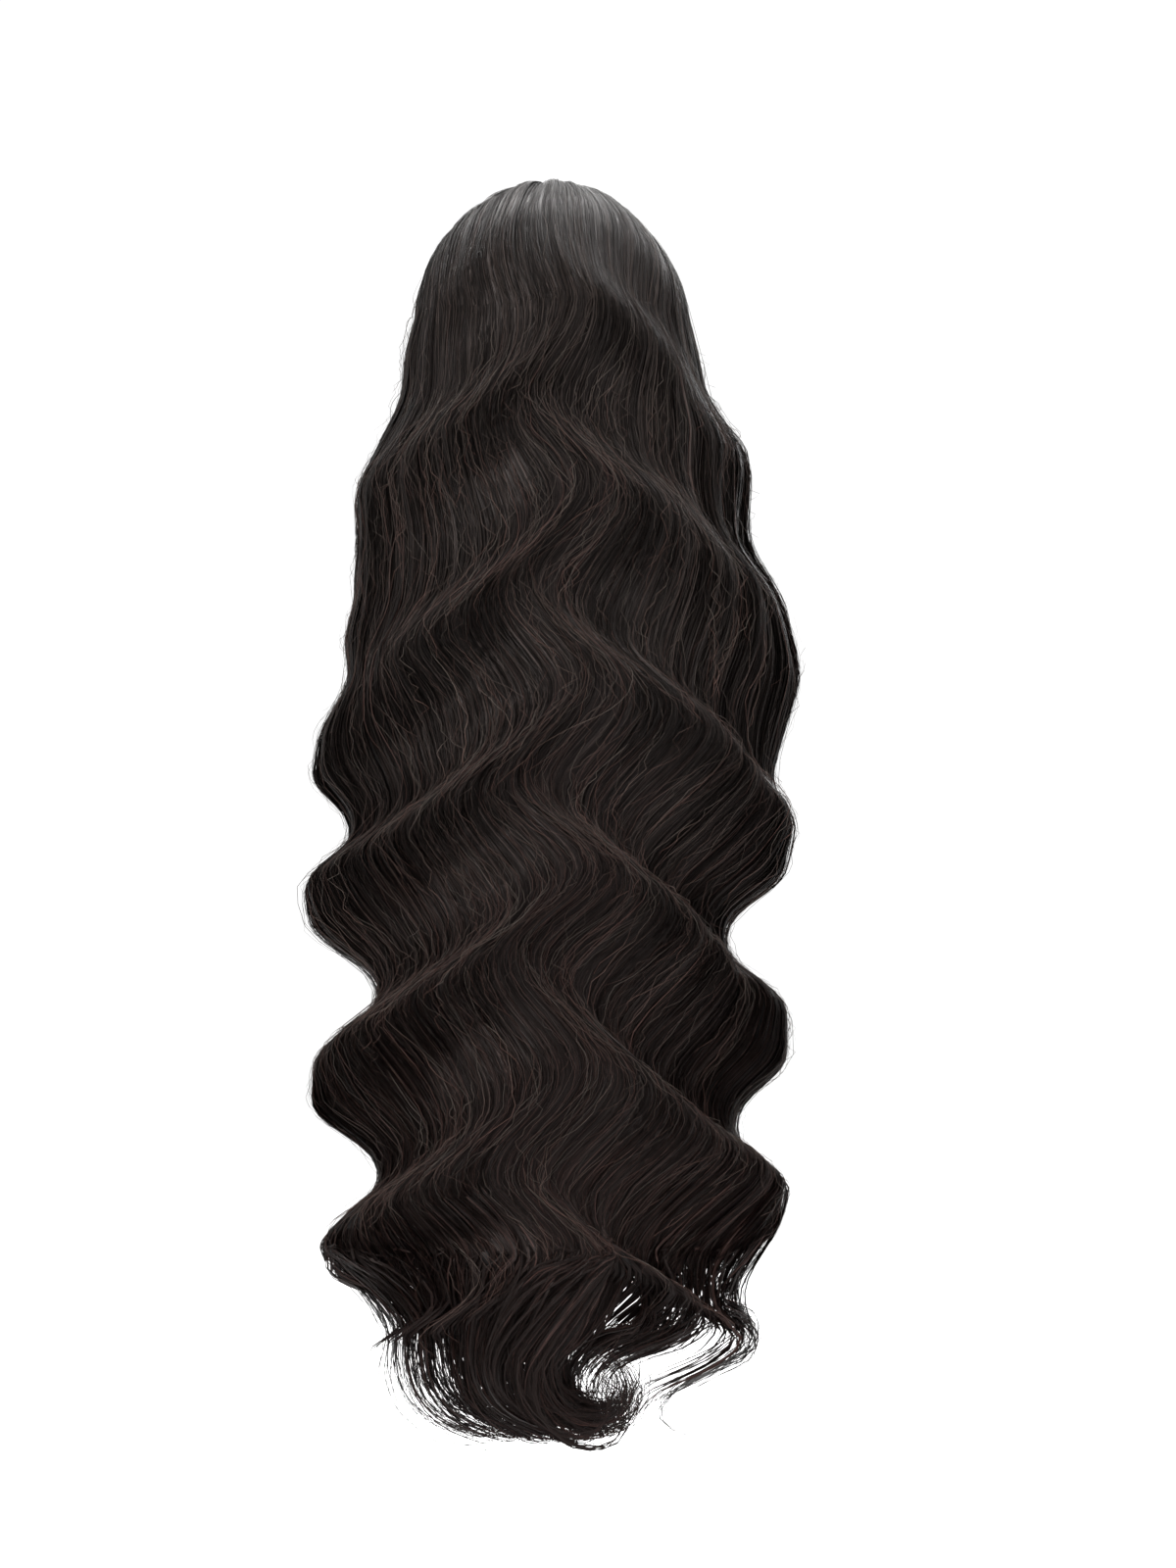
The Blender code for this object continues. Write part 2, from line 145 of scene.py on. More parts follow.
# Locks of the CAD that the strands stand for, by their limits across the hair
LOCK_LIMITS = (-1, -0.62, -0.44, -0.27, -0.09, 0.09, 0.27, 0.44, 0.62, 1)
LOCK_NAMES = ("side_lock_left", "back_lock_1", "back_lock_2", "back_lock_3", "back_lock_4",
              "back_lock_5", "back_lock_6", "back_lock_7", "side_lock_right")
SIDE_TIPS = {-1: -318 * MM, 1: -372 * MM}

# Where the long hair leaves its waves for the curls at its tips
TIP_FROM = -690 * MM

# Curls at the tips: the place across the hair that feeds each, its middle line in millimetres
# to the picture's right and up from the seat, whether the hair fans out from it to the next
# curl, and how wide it is where it doesn't
CURLS = (
    {"q": -0.62, "fans": True, "spread": 3,
     "path": ((-114, -752), (-121, -784), (-116, -800), (-104, -817), (-85, -826),
              (-65, -832), (-56, -829), (-50, -819))},
    {"q": -0.57, "fans": True, "spread": 4,
     "path": ((-108, -750), (-108, -772), (-102, -790), (-90, -804), (-70, -815),
              (-52, -820), (-38, -817))},
    {"q": -0.46, "fans": True, "spread": 4,
     "path": ((-96, -744), (-96, -766), (-91, -784), (-80, -799), (-64, -808),
              (-44, -814), (-28, -812))},
    {"q": -0.33, "fans": True, "spread": 4,
     "path": ((-78, -742), (-77, -762), (-72, -782), (-59, -797), (-42, -807),
              (-20, -812), (-9, -807))},
    {"q": -0.22, "fans": True, "spread": 4,
     "path": ((-58, -742), (-58, -760), (-54, -780), (-42, -796), (-25, -806),
              (-8, -810), (6, -806))},
    {"q": -0.12, "fans": True, "spread": 4,
     "path": ((-44, -746), (-42, -766), (-31, -786), (-9, -799), (18, -806), (34, -802))},
    {"q": -0.03, "fans": False, "spread": 5,
     "path": ((-20, -740), (-26, -756), (-24, -773), (-10, -788), (8, -795), (34, -797))},
    {"q": 0.10, "fans": True, "spread": 6,
     "path": ((0, -740), (-9, -756), (-8, -778), (4, -796), (24, -806), (45, -803),
              (55, -786), (50, -768), (38, -760))},
    {"q": 0.22, "fans": False, "spread": 6,
     "path": ((22, -744), (8, -756), (4, -772), (12, -790), (28, -798), (42, -792),
              (46, -777), (38, -766))},
    {"q": 0.30, "fans": True, "spread": 5,
     "path": ((62, -742), (38, -750), (20, -762), (13, -778), (20, -794), (38, -797),
              (48, -784))},
    {"q": 0.40, "fans": False, "spread": 6,
     "path": ((92, -742), (76, -752), (52, -760), (34, -770), (28, -786), (36, -800))},
    {"q": 0.46, "fans": True, "spread": 5,
     "path": ((106, -735), (118, -741), (121, -751), (108, -764), (84, -777), (62, -788),
              (52, -802), (60, -816))},
    {"q": 0.62, "fans": False, "spread": 3,
     "path": ((112, -731), (129, -737), (134, -749), (126, -763), (101, -774), (80, -785),
              (67, -797), (65, -809), (75, -819), (90, -820), (101, -812), (100, -804),
              (92, -800))},
)

# Curls: how many strands lead each, how far a strand strays to the next, and the shares of strands
# that stay whole, are cut a little or end early
LEADERS = 40
CURL_STRAY = 0.01
WHOLE_CURLS = 0.5
CURL_CUT = 0.5
EARLY_END = (0.05, 0.5)
WISPS = 61
WISP_MIX, WISP_MIX_SPREAD = 37, 9
WISP_SPREAD, STRAND_SPREAD = 0.7, 0.2
CURL_JOIN = 0.6
CURL_DEPTH = 8 * MM
CURL_DEPTH_SPREAD = 0.5
JOINT_ROUNDS, JOINT_REACH = 6, 5

# Strands: how many, how wide, and how many streaks of colour a strip has
BACK_CARDS = 1800
BACK_STRANDS = 1400
UNDER_STRANDS = 650
SIDE_STRANDS = 330
FLYAWAYS = 160
CROSSING = 900
CARD_WIDTH = 2.1 * MM
STRAND_WIDTH = 0.6 * MM
FLYAWAY_WIDTH = 0.4 * MM
CROSSING_WIDTH = 0.35 * MM
STREAKS = 7

# How the widths and the rolls of strips vary, as shares and in radians
BACK_WIDTHS = (0.6, 1.25)
UNDER_WIDTHS = (0.5, 1.2)
SIDE_WIDTHS = (0.6, 1.2)
BACK_ROLL = 0.3
UNDER_ROLL = 0.4
SIDE_ROLL = 0.5
FLYAWAY_ROLL = 0.6
CROSSING_ROLL = 0.5

# Points along the strands, closer together where they bend
DOME_POINTS = 28
FALL_POINTS = 260
STRAND_POINTS = 82
UNDER_POINTS = 64
SHORT_POINTS = 46
CROSSING_POINTS = 18
CURL_POINTS = 18
CURL_STEPS = 90
STRAIGHT_SHARE = 12

# How a strand wanders: its beats, its strength, and how soon after the root it starts
WANDER_BEATS = (1.5, 5.5)
WANDER_STEP = 1.5
WANDER_AMOUNTS = (0.4, 1.3)
WANDER_RISE = 3
OUTWARD_WANDER = 0.5
JITTER = 0.8 * MM
SIDE_JITTER = 1.1 * MM
FLYAWAY_JITTER = 2.6 * MM
CROSSING_JITTER = 3 * MM

# How strips narrow: over what share of their length, and the least width that is left
TAPER = 0.13
BACK_TAPER = 0.19
UNDER_TAPER = 0.05
TAPER_POWER = 0.6
ROOT_RISE, ROOT_WIDTH = 12, 0.4
LEAST_WIDTH = 0.12
COLUMN = (0.15, 0.85)

# How strands gather near a limit, as the two powers of a beta spread
NEAR_SURFACE = (1.1, 4.0)
NEAR_INNER_FACE = (1, 5)
NEAR_LOWEST = (1.2, 2.2)

# Where strands start and how deep they lie, as shares of the crown's length and of the hair's depth
UNDER_DEPTH = 0.3
CARD_SUNK = 0.03
FINE_DEPTH = 0.6
ROOT_STARTS = 0.35
LATE_STARTS = (0.05, 0.8)
SPREAD_HEIGHT = -400 * MM

# The strands behind, darker as painted shade: the share of them at the inner face, and where they
# start and end
INNER_SHARE = 0.55
INNER_REACH = 0.25
UNDER_DEPTHS = (0.1, 0.9)
UNDER_STARTS = (0.5, 0.97)
UNDER_END, UNDER_END_SPREAD = -765 * MM, 90 * MM

# Side locks: the hair near the face, drawn in to a middle strand towards its tips
SIDE_NEAR_SHARE = 0.7
SIDE_NEAR_DEPTH = 0.4
SIDE_DEPTHS = (0.3, 1.0)
SIDE_ROOT_STARTS = 0.5
SIDE_STARTS = (0.05, 0.7)
SIDE_ENDS = (-4 * MM, 70 * MM)
DRAWN_OVER = 110 * MM
DRAWN_MIDDLE = 0.8
DRAWN_IN, DRAWN_POWER = 0.75, 1.4

# Loose hairs: where they start and end, and how far they stand off the rest
FLYAWAY_STARTS = (0, 0.9)
FLYAWAY_ENDS = (0.15, 0.74)
FLYAWAY_LIFT = 2.5 * MM
CROSSING_LIMIT = 0.66
CROSSING_TOPS = (2 * MM, 590 * MM)
CROSSING_LENGTHS = (40 * MM, 130 * MM)
CROSSING_LEAN = 0.05
CROSSING_STANDS = (0.5, 3.0)

# The sheets of hair under the strands: first and last place across the hair, columns, lowest
# height, and the nodes of the CAD that each stands for
SHEETS = {
    "under_hair_back": (-0.6, 0.6, 121, -684 * MM, ("crown_hair_left", "crown_hair_right")),
    "under_hair_left": (-0.999, -0.6, 31, -285 * MM, ("side_lock_left",)),
    "under_hair_right": (0.6, 0.999, 31, -335 * MM, ("side_lock_right",)),
}
SHEET_EDGE = (12 * MM, 40)
SHEET_FINE_EDGE = (6 * MM, 171)
SHEET_ROOT = 0.02
SHEET_DOME_ROWS, SHEET_FALL_ROWS = 14, 100
SHEET_THINS_OVER = 50 * MM
SHEET_BELOW = 2.6 * MM
SHEET_BACK, SHEET_LEAST = 0.88, 0.2
SHEET_MARGIN = 0.01

# Finish of the hair
HAIR_GLOSS = 0.06
SHEEN_TINT = (1.0, 0.86, 0.82, 1)
# Towards the tips the hair turns redder, and a little darker as painted shade of the light falling
# off lower down
TIP_TINT_AND_SHADE = (1.25, 0.82, 0.78, 1)
TINT_AND_SHADE_FROM, TINT_AND_SHADE_TO = 0.35, 0.95
COMMON_SHADES = 0.7
SMOOTHER, ROUGHER = 0.06, 0.08
FIBRE_RELIEF = 0.4 * MM
FIBRE_STRENGTH = 0.9
FIBRES_ALONG = 40
UNDER_STREAKS = (420, 5, 1)
UNDER_SHADES = (0.35, 0.75)
UNDER_RELIEF = 1 * MM
UNDER_STRENGTH = 0.8
UNDER_ROUGH = 0.5
UNDER_DARK = (0.0006, 0.0004, 0.0004)
UNDER_LIGHT = (0.004, 0.003, 0.0028)
FACING = np.array([-1, 1, 1])

# Dark, common and rare shades of each kind of hair, and its roughness; the rare light shade is
# painted highlight, glints on a few strands
SHADES = {
    "hair": ((0.0007, 0.0005, 0.0005), (0.0022, 0.0017, 0.0015), (0.024, 0.018, 0.0162), 0.38),
    # The strands behind: darker, painted shade
    "hair_deep_painted_shade": ((0.0008, 0.0005, 0.0005), (0.002, 0.0015, 0.0014), (0.005, 0.0035, 0.003), 0.45),
    "hair_side": ((0.0012, 0.0009, 0.0008), (0.004, 0.0031, 0.0028), (0.034, 0.026, 0.0235), 0.38),
    # Loose hairs: lighter than the rest, painted highlight
    "hair_loose_painted_highlight": ((0.004, 0.003, 0.0026), (0.016, 0.012, 0.0105), (0.034, 0.026, 0.023), 0.4),
    # Crossing hairs: lighter than the rest, painted highlight
    "hair_crossing_painted_highlight": ((0.008, 0.0064, 0.0056), (0.022, 0.018, 0.0155), (0.05, 0.041, 0.035), 0.4),
}

# Colour, threads to a metre and roughness of each kind of net
NETS = {
    "cap_mesh": ((0.035, 0.024, 0.019), 420, 0.85),
    "lace": ((0.34, 0.21, 0.13), 900, 0.7),
    "elastic": ((0.03, 0.022, 0.018), 700, 0.7),
}
THREAD_EDGES = (0.02, 0.16)
HOLE_SHADE = 0.45
THREAD_RELIEF = 0.6 * MM
THREAD_STRENGTH = 0.7

# Studio: each light's place, target, width, height and power, then the surround and the floor
LIGHTS = {
    "crown": ((-0.1, -0.5, 1.1), (0, 0, 0), 2.2, 0.4, 60),
    "key": ((0.5, 1.5, 1.5), (0, 0.05, -0.35), 1.6, 0.9, 150),
    "left_fill": ((1.7, 1.1, 0.5), (0.1, 0.05, -0.4), 1.2, 1.6, 40),
    "right_fill": ((-1.7, 1.1, 0.5), (-0.1, 0.05, -0.4), 1.2, 1.6, 70),
    "front_fill": ((-0.8, -2.0, 0.6), (0, 0, -0.3), 1.6, 1.6, 40),
}
SURROUND = 1.06
FLOOR_RADIUS = 12
FLOOR_GREYS = (0.93, 0.97)
FLOOR_ROUGH = 0.8


def smoothstep(value):
    value = np.clip(value, 0, 1)
    return value * value * (3 - 2 * value)


def smooth_curve(x, xs, ys):
    """A curve through the points of two table columns, with xs rising."""
    slopes = np.gradient(ys, xs)
    i = np.clip(np.searchsorted(xs, x) - 1, 0, len(xs) - 2)
    width = xs[i + 1] - xs[i]
    t = np.clip((x - xs[i]) / width, 0, 1)
    return (
        ys[i] * (1 + 2 * t) * (1 - t) ** 2
        + ys[i + 1] * t * t * (3 - 2 * t)
        + slopes[i] * width * t * (1 - t) ** 2
        - slopes[i + 1] * width * t * t * (1 - t)
    )


def section(name, z):
    heights = np.array(SECTIONS["height"][::-1]) * MM
    values = np.array(SECTIONS[name][::-1], float)
    if not name.endswith("deg"):
        values = values * MM
    return smooth_curve(np.asarray(z, float), heights, values)


def angle_of(q, z):
    """Angle round the head, from the middle of the back, of strand q at height z."""
    share = np.abs(q)
    back, front = section("back_deg", z), section("front_deg", z)
    along_side = (share - BACK_LIMIT) / (1 - BACK_LIMIT)
    degrees = np.where(
        share < BACK_LIMIT, back * share / BACK_LIMIT, back + (front - back) * along_side
    )
    return np.radians(degrees) * np.sign(q)


def half_sizes(angle, z):
    width = np.where(angle < 0, section("left", z), section("right", z))
    back = section("back", z) - section("side", z)
    depth = np.where(np.cos(angle) > 0, back, section("front", z))
    return width, depth


def on_section(q, z, more=0.0):
    angle = angle_of(q, z)
    width, depth = half_sizes(angle, z)
    least = LEAST_DEPTH_SHARE * depth
    width, depth = width + more, np.maximum(depth + more, least)
    return width * np.sin(angle), section("side", z) + depth * np.cos(angle), angle


def ripples(seed, count, across, along):
    """Plane waves that add up to a soft irregular field over (strand, height)."""
    rng = np.random.default_rng(seed)
    return (
        rng.normal(0, across, count), rng.normal(0, along, count),
        rng.uniform(0, 2 * math.pi, count),
    )


def field(waves, q, z):
    """About -1 to 1, and the same whenever it is asked for the same place."""
    total = 0.0
    for per_q, per_z, phase in zip(*waves):
        total = total + np.sin(per_q * q + per_z * z + phase)
    return total / math.sqrt(len(waves[0]) / 2) / FIELD_PEAK


LOCK_FIELD = ripples(SEED + 1, 14, 34, 9)
DRIFT_FIELD = ripples(SEED + 2, 12, 12, 16)
FINE_FIELD = ripples(SEED + 3, 16, 130, 14)
PHASE_FIELD = ripples(SEED + 4, 10, 8, 7)


def wave(q, angle, z):
    """Sideways sway and outward swell of the body wave at a strand, its angle and height."""
    across = np.where(
        np.abs(angle) < math.pi / 2, np.abs(np.sin(angle)), 0.5 + np.abs(angle) / math.pi
    )
    crests = []
    for middle, left, right in zip(CRESTS["middle"], CRESTS["left"], CRESTS["right"]):
        crests.append((middle + (np.where(angle < 0, left, right) - middle) * across**ARCH) * MM)
    turns = 0.0
    late = z + PHASE_DRIFT * field(PHASE_FIELD, q, z)
    for above, below in zip(crests, crests[1:]):
        turns = turns + np.clip((above - late) / (above - below), 0, 1)
    beat = -np.cos(2 * math.pi * turns)
    fuller = (EDGE_ROUNDING * beat + LOBE_WIDENING * np.sign(angle)) * (1 - beat**2)
    beat = beat + fuller * np.clip(across, 0, 1) ** 2
    table = {name: np.array(column) * MM for name, column in WAVES.items()}
    order = slice(None, None, -1)
    at_middle = np.interp(z, table["height"][order], table["sway_middle"][order])
    at_edge = np.interp(z, table["edge_height"][order], table["sway_edge"][order])
    swell = np.interp(z, table["height"][order], table["swell"][order])
    sway = at_middle + (at_edge - at_middle) * np.clip(across, 0, 1)
    outwards = np.clip(q / LIFT_GROWS_OVER, -1, 1)
    lift = outwards * np.sin(2 * math.pi * turns)
    lift = lift - DROP * np.abs(outwards) * np.sin(4 * math.pi * turns)
    inside = 1 - smoothstep((np.abs(q) / BACK_LIMIT - LIFT_FADES_FROM) / LIFT_FADES_OVER)
    lift = LIFT * lift * inside * np.clip(sway / FULL_LIFT_SWAY, 0, 1)
    return sway * beat, swell * beat * np.cos(angle) ** 2 + lift


def on_cap(x, y, z, off):
    """The point of the cap's inner form, off metres outside it, on the way to (x, y, z)."""
    a, b, c = CAP_HALF_WIDTH + off, CAP_HALF_LENGTH + off, CAP_RISE + off
    up = np.maximum(z + CAP_RISE, 0)
    reach = 1 / np.sqrt((x / a) ** 2 + (y / b) ** 2 + (up / c) ** 2)
    below = np.clip((-CAP_RISE - z) / NAPE_DROP, 0, NAPE_REACH)
    narrow = np.where(up > 0, 1, 1 - NAPE_TAPER * below * below)
    height = np.where(up > 0, up * reach - CAP_RISE, z)
    return x * reach * narrow, y * reach * narrow, height


def dome_point(q, t):
    """Smooth outer surface over the crown: t runs from 0 at the root to 1 at the rim."""
    rim_x, rim_y, angle = on_section(q, RIM)
    share = np.abs(q)
    turn = np.clip(share / PARTING_STARTS, 0, 1) * math.pi / 2 * np.sign(q)
    root_x = PARTING_HALF_WIDTH * np.sin(turn)
    root_y = (
        PARTING_BACK + PARTING_HALF_WIDTH * np.cos(turn)
        + (PARTING_FRONT - PARTING_BACK) * np.clip(share - PARTING_STARTS, 0, 1)
        / (1 - PARTING_STARTS)
    )
    ahead = angle + SWEEP * share * (1 - SWEEP_LESS * share) * np.sign(q)
    reach = SWEEP_REACH + (FRONT_REACH - SWEEP_REACH) * share**4
    width, depth = half_sizes(ahead, RIM)
    bend_x = reach * width * np.sin(ahead)
    bend_y = section("side", RIM) + reach * depth * np.cos(ahead)
    g = np.sin(t * math.pi / 2)
    x = (1 - g) ** 2 * root_x + 2 * g * (1 - g) * bend_x + g * g * rim_x
    y = (1 - g) ** 2 * root_y + 2 * g * (1 - g) * bend_y + g * g * rim_y
    width, depth = half_sizes(np.arctan2(x, y - section("side", RIM)), RIM)
    out = (x / width) ** 2 + ((y - section("side", RIM)) / depth) ** 2
    up = np.clip(1 - out, 0, 1) ** DOME_POWER
    return x - APEX_LEAN * up, y, RIM + (CROWN_TOP - RIM) * up, angle


def edge_relief(q):
    return FRONT_EDGE_SHARE + (1 - FRONT_EDGE_SHARE) * smoothstep(
        (1 - np.abs(q)) / FRONT_EDGE_REACH
    )


def clothe(q, z, outer, inner):
    """Adds the relief of locks and wisps to the outer surface, more of it lower down."""
    fall = smoothstep((RELIEF_FROM - z) / RELIEF_OVER)
    rise = LOCK_RELIEF * field(LOCK_FIELD, q, z) + FINE_RELIEF * field(FINE_FIELD, q, z)
    rise = rise * (LEAST_RELIEF + (1 - LEAST_RELIEF) * fall) - RELIEF_SUNK
    way = outer - inner
    length = np.maximum(np.linalg.norm(way, axis=-1, keepdims=True), 1e-6)
    moved = outer + way / length * rise[..., None]
    drift = DRIFT * field(DRIFT_FIELD, q, z) * fall
    for points in (moved, inner):
        points[..., 0] += drift
    return moved, inner


def over_crown(q, t):
    """Outer and inner points over the crown, for q and t that broadcast."""
    x, y, z, angle = dome_point(q, t)
    sway, swell = wave(q, angle, z)
    x = x + t * sway + t * t * swell * np.sin(angle)
    y = y + t * t * swell * np.cos(angle)
    inner = np.stack(np.broadcast_arrays(*on_cap(x, y, z, CAP_CLEAR)), -1)
    full = np.stack(np.broadcast_arrays(x, y, z), -1)
    outer = inner + (full - inner) * (edge_relief(q) + 0 * z)[..., None]
    return clothe(q + 0 * z, z, outer, inner)


def in_fall(q, z):
    """Outer and inner points below the rim, for q and z that broadcast."""
    q, z = np.broadcast_arrays(q, z)
    sway, swell = wave(q, angle_of(q, z), z)
    x, y, _ = on_section(q, z, swell)
    capped = on_cap(*on_section(q, z)[:2], z, CAP_CLEAR)
    loose = on_section(q, z, swell / 2 - section("thick", z))
    free = smoothstep((FREE_FROM - z) / (FREE_FROM - FREE_TO))
    inner = np.stack([
        capped[0] + (loose[0] + sway - capped[0]) * free,
        capped[1] + (loose[1] - capped[1]) * free,
        z,
    ], -1)
    full = np.stack([x + sway, y, z], -1)
    outer = inner + (full - inner) * edge_relief(q)[..., None]
    return clothe(q, z, outer, inner)


def spread_evenly(count, low, high, rng):
    """Strand places between two limits, as dense along the back as round the sides."""
    qs = np.linspace(low, high, 400)
    x, y, _ = on_section(qs, SPREAD_HEIGHT)
    steps = np.append(0, np.cumsum(np.hypot(np.diff(x), np.diff(y)) + 1e-5))
    return np.interp(rng.uniform(0, steps[-1], count), steps, qs)


def wander(rng, count, places, amount, waves=3):
    """A small soft wandering for each strand, growing from its root."""
    along = np.linspace(0, 1, places)[None, :]
    total = np.zeros((count, places))
    for k in range(waves):
        beats = rng.uniform(*WANDER_BEATS, (count, 1)) * (k + 1) / WANDER_STEP
        total += np.sin(2 * math.pi * (beats * along + rng.uniform(0, 1, (count, 1)))) / (k + 1)
    return total * amount * smoothstep(along * WANDER_RISE) * rng.uniform(*WANDER_AMOUNTS, (count, 1))


def smooth_path(points, count):
    """A curve through a short list of points, resampled to count points."""
    points = np.array(points, float)
    lengths = np.append(0, np.cumsum(np.linalg.norm(np.diff(points, axis=0), axis=1)))
    at = np.linspace(0, lengths[-1], count)
    return np.stack([smooth_curve(at, lengths, points[:, k]) for k in range(points.shape[1])], 1)


def resample(rows, count):
    """The same strands with count points each, closer together where they bend."""
    ways = np.diff(rows[..., :3], axis=1)
    steps = np.maximum(np.linalg.norm(ways, axis=-1), 1e-7)
    turns = np.linalg.norm(np.diff(ways / steps[..., None], axis=1), axis=-1)
    bend = np.pad(turns, ((0, 0), (1, 0)), mode="edge") / steps
    bend = (bend[:, :-2] + bend[:, 1:-1] + bend[:, 2:]) / 3
    bend = np.pad(bend, ((0, 0), (1, 1)), mode="edge")
    weights = steps * np.sqrt(bend + STRAIGHT_SHARE)
    lengths = np.concatenate([np.zeros((len(rows), 1)), np.cumsum(weights, 1)], 1)
    moved = np.empty((len(rows), count, rows.shape[2]))
    for i, length in enumerate(lengths):
        at = np.linspace(0, length[-1], count)
        for k in range(rows.shape[2]):
            moved[i, :, k] = np.interp(at, length, rows[i, :, k])
    return moved


def strands(q, depth, start, end, rng, count=STRAND_POINTS, jitter=JITTER):
    """Strand paths from the crown to a height, with the outward direction at each point."""
    q, depth = q[:, None], depth[:, None]
    t = start[:, None] + (1 - start[:, None]) * np.linspace(0, 1, DOME_POINTS)[None, :]
    z = RIM + (end[:, None] - RIM) * np.linspace(0, 1, FALL_POINTS + 1)[None, 1:]
    crown, fall = over_crown(q, t), in_fall(q, z)
    outer = np.concatenate([crown[0], fall[0]], 1)
    inner = np.concatenate([crown[1], fall[1]], 1)
    places = outer.shape[1]
    rise = smoothstep(np.linspace(0, 1, places)[None, :] * places / 4)
    sunk = np.where(start[:, None] > 0.02, 1 - (1 - depth) * rise, depth)
    out = outer - inner
    paths = outer - out * sunk[..., None]
    out = out / np.maximum(np.linalg.norm(out, axis=-1, keepdims=True), 1e-6)
    even = resample(np.concatenate([paths, out], -1), count)
    paths, out = even[..., :3], even[..., 3:]
    paths = paths + out * wander(rng, len(q), count, jitter * OUTWARD_WANDER)[..., None]
    paths[..., 0] += wander(rng, len(q), count, jitter)
    return paths, out


def add_curls(q, paths, out, rng):
    """Carries each strand from the end of its waves along the curl that its place feeds."""
    anchors = np.array([curl["q"] for curl in CURLS])
    routes = []
    for curl in CURLS:
        near = np.argsort(np.abs(q - curl["q"]))[:LEADERS]
        lead = paths[near].mean(0)
        hand = np.array([(x * MM, lead[-1, 1], z * MM) for x, z in curl["path"]])
        routes.append(smooth_path(np.vstack([lead[-1], hand]), CURL_STEPS) - lead[-1])
    routes = np.stack(routes)
    leads = np.stack([paths[np.argsort(np.abs(q - a))[:LEADERS], -1].mean(0) for a in anchors])
    own = np.clip(q + rng.normal(0, CURL_STRAY, len(q)), anchors[0], anchors[-1])
    left = np.clip(np.searchsorted(anchors, own, side="right") - 1, 0, len(anchors) - 2)
    way = (own - anchors[left]) / (anchors[left + 1] - anchors[left])
    fans = np.array([curl["fans"] for curl in CURLS])[left]
    way = np.where(fans, way, np.round(way))[:, None, None]
    lead = leads[left] + (leads[left + 1] - leads[left]) * way[:, 0]
    route = routes[left] + (routes[left + 1] - routes[left]) * way
    spread = np.array([curl["spread"] for curl in CURLS]) * MM
    spread = spread[left] + (spread[left + 1] - spread[left]) * way[:, 0, 0]
    reach = 1 - CURL_CUT * rng.uniform(0, 1, len(q)) ** 3
    whole = rng.uniform(size=len(q)) < WHOLE_CURLS
    reach = np.where(whole, reach, rng.uniform(*EARLY_END, len(q)))
    share = np.linspace(0, 1, CURL_POINTS + 1)[1:]
    at = reach[:, None] * share[None, :] * (CURL_STEPS - 1)
    low = np.clip(at.astype(int), 0, CURL_STEPS - 2)
    part = (at - low)[..., None]
    rows = np.arange(len(q))[:, None]
    follow = route[rows, low] * (1 - part) + route[rows, low + 1] * part + lead[:, None, :]
    off = (paths[:, -1] - lead)[:, None, :]
    fade = (1 - smoothstep(share / CURL_JOIN))[None, :, None]
    wisps = rng.normal(0, WISP_SPREAD, (WISPS, 1, 3))
    mixed = own * WISP_MIX + rng.uniform(0, WISP_MIX_SPREAD, len(q))
    wisp = wisps[mixed.astype(int) % WISPS]
    wide = spread[:, None, None] * (wisp + rng.normal(0, STRAND_SPREAD, (len(q), 1, 3)))
    wide = wide * smoothstep(share * 2)[None, :, None] * (1 + share[None, :, None])
    curls = follow + off * fade + wide
    deep = CURL_DEPTH * rng.normal(0, CURL_DEPTH_SPREAD, (len(q), 1))
    curls[..., 1] += np.sin(share * math.pi) * deep
    joined = np.concatenate([paths, curls], 1)
    joint = paths.shape[1]
    first, last = joint - JOINT_REACH, joint + JOINT_REACH + 1
    for _ in range(JOINT_ROUNDS):
        inside = slice(first, last)
        before, after = slice(first - 1, last - 1), slice(first + 1, last + 1)
        joined[:, inside] = (joined[:, before] + 2 * joined[:, inside] + joined[:, after]) / 4
    outs = np.concatenate([out, np.repeat(out[:, -1:], CURL_POINTS, 1)], 1)
    return joined, outs


def ribbon_mesh(name, paths, outs, widths, roll, material, taper=TAPER):
    """One mesh of flat strips along the paths, each in its own column of the bake layout."""
    count, places = paths.shape[:2]
    tangent = np.gradient(paths, axis=1)
    tangent /= np.maximum(np.linalg.norm(tangent, axis=-1, keepdims=True), 1e-9)
    side = np.cross(tangent, outs)
    side /= np.maximum(np.linalg.norm(side, axis=-1, keepdims=True), 1e-9)
    face = np.cross(side, tangent)
    side = side * np.cos(roll)[:, None, None] + face * np.sin(roll)[:, None, None]
    along = np.linspace(0, 1, places)
    thin = np.minimum(1, (1 - along) / taper) ** TAPER_POWER
    thin = thin * np.minimum(1, along * ROOT_RISE + ROOT_WIDTH)
    half = widths[:, None, None] / 2 * np.maximum(thin, LEAST_WIDTH)[None, :, None]
    corners = np.stack([paths - side * half, paths + side * half], 2)
    corners = corners * FACING
    first = np.arange(count)[:, None] * places * 2 + np.arange(places - 1)[None, :] * 2
    quads = np.stack([first, first + 1, first + 3, first + 2], -1).reshape(-1, 4)
    u = (np.arange(count)[:, None, None] + np.array(COLUMN)[None, None, :]) / count
    u = np.broadcast_to(u, (count, places, 2))
    v = np.broadcast_to(along[None, :, None], (count, places, 2))
    uv = np.stack([u, v], -1).reshape(-1, 2)
    return add_mesh(name, corners.reshape(-1, 3), quads, uv, material)


